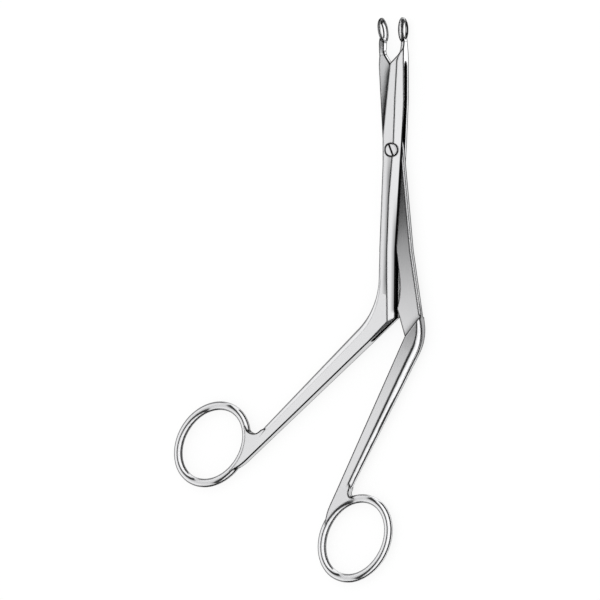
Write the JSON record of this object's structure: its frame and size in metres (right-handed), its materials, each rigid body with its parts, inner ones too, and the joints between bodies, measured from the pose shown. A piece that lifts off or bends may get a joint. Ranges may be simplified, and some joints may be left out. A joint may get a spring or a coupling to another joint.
{
  "type": "nasal forceps",
  "caption": "Ring-handled nasal forceps, angled at the elbow, with a screwed box lock and oval fenestrated cup jaws, standing part open",
  "frame": {"origin": "on the hinge axis, at the rear face of the lock", "axes": "+Z along the hinge axis out of the screw-head side, +Y from the hinge to the jaws along the female half, +X to the right as seen from the screw-head side, with the finger rings towards -X"},
  "size_m": [0.0967, 0.1993, 0.0075],
  "materials": {
    "satin_steel": "satin, polished on the rounded sides",
    "screw_steel": "polished"
  },
  "bodies": {
    "female": {"female_half": "satin_steel", "pivot_screw": "screw_steel"},
    "male": {"male_half": "satin_steel"}
  },
  "joints": [
    {"name": "box_lock_hinge", "type": "hinge", "parent": "female", "child": "male", "pos_m": [0, 0, 0], "axis": [0, 0, 1], "range_deg": [-9.4, 10.5]}
  ]
}
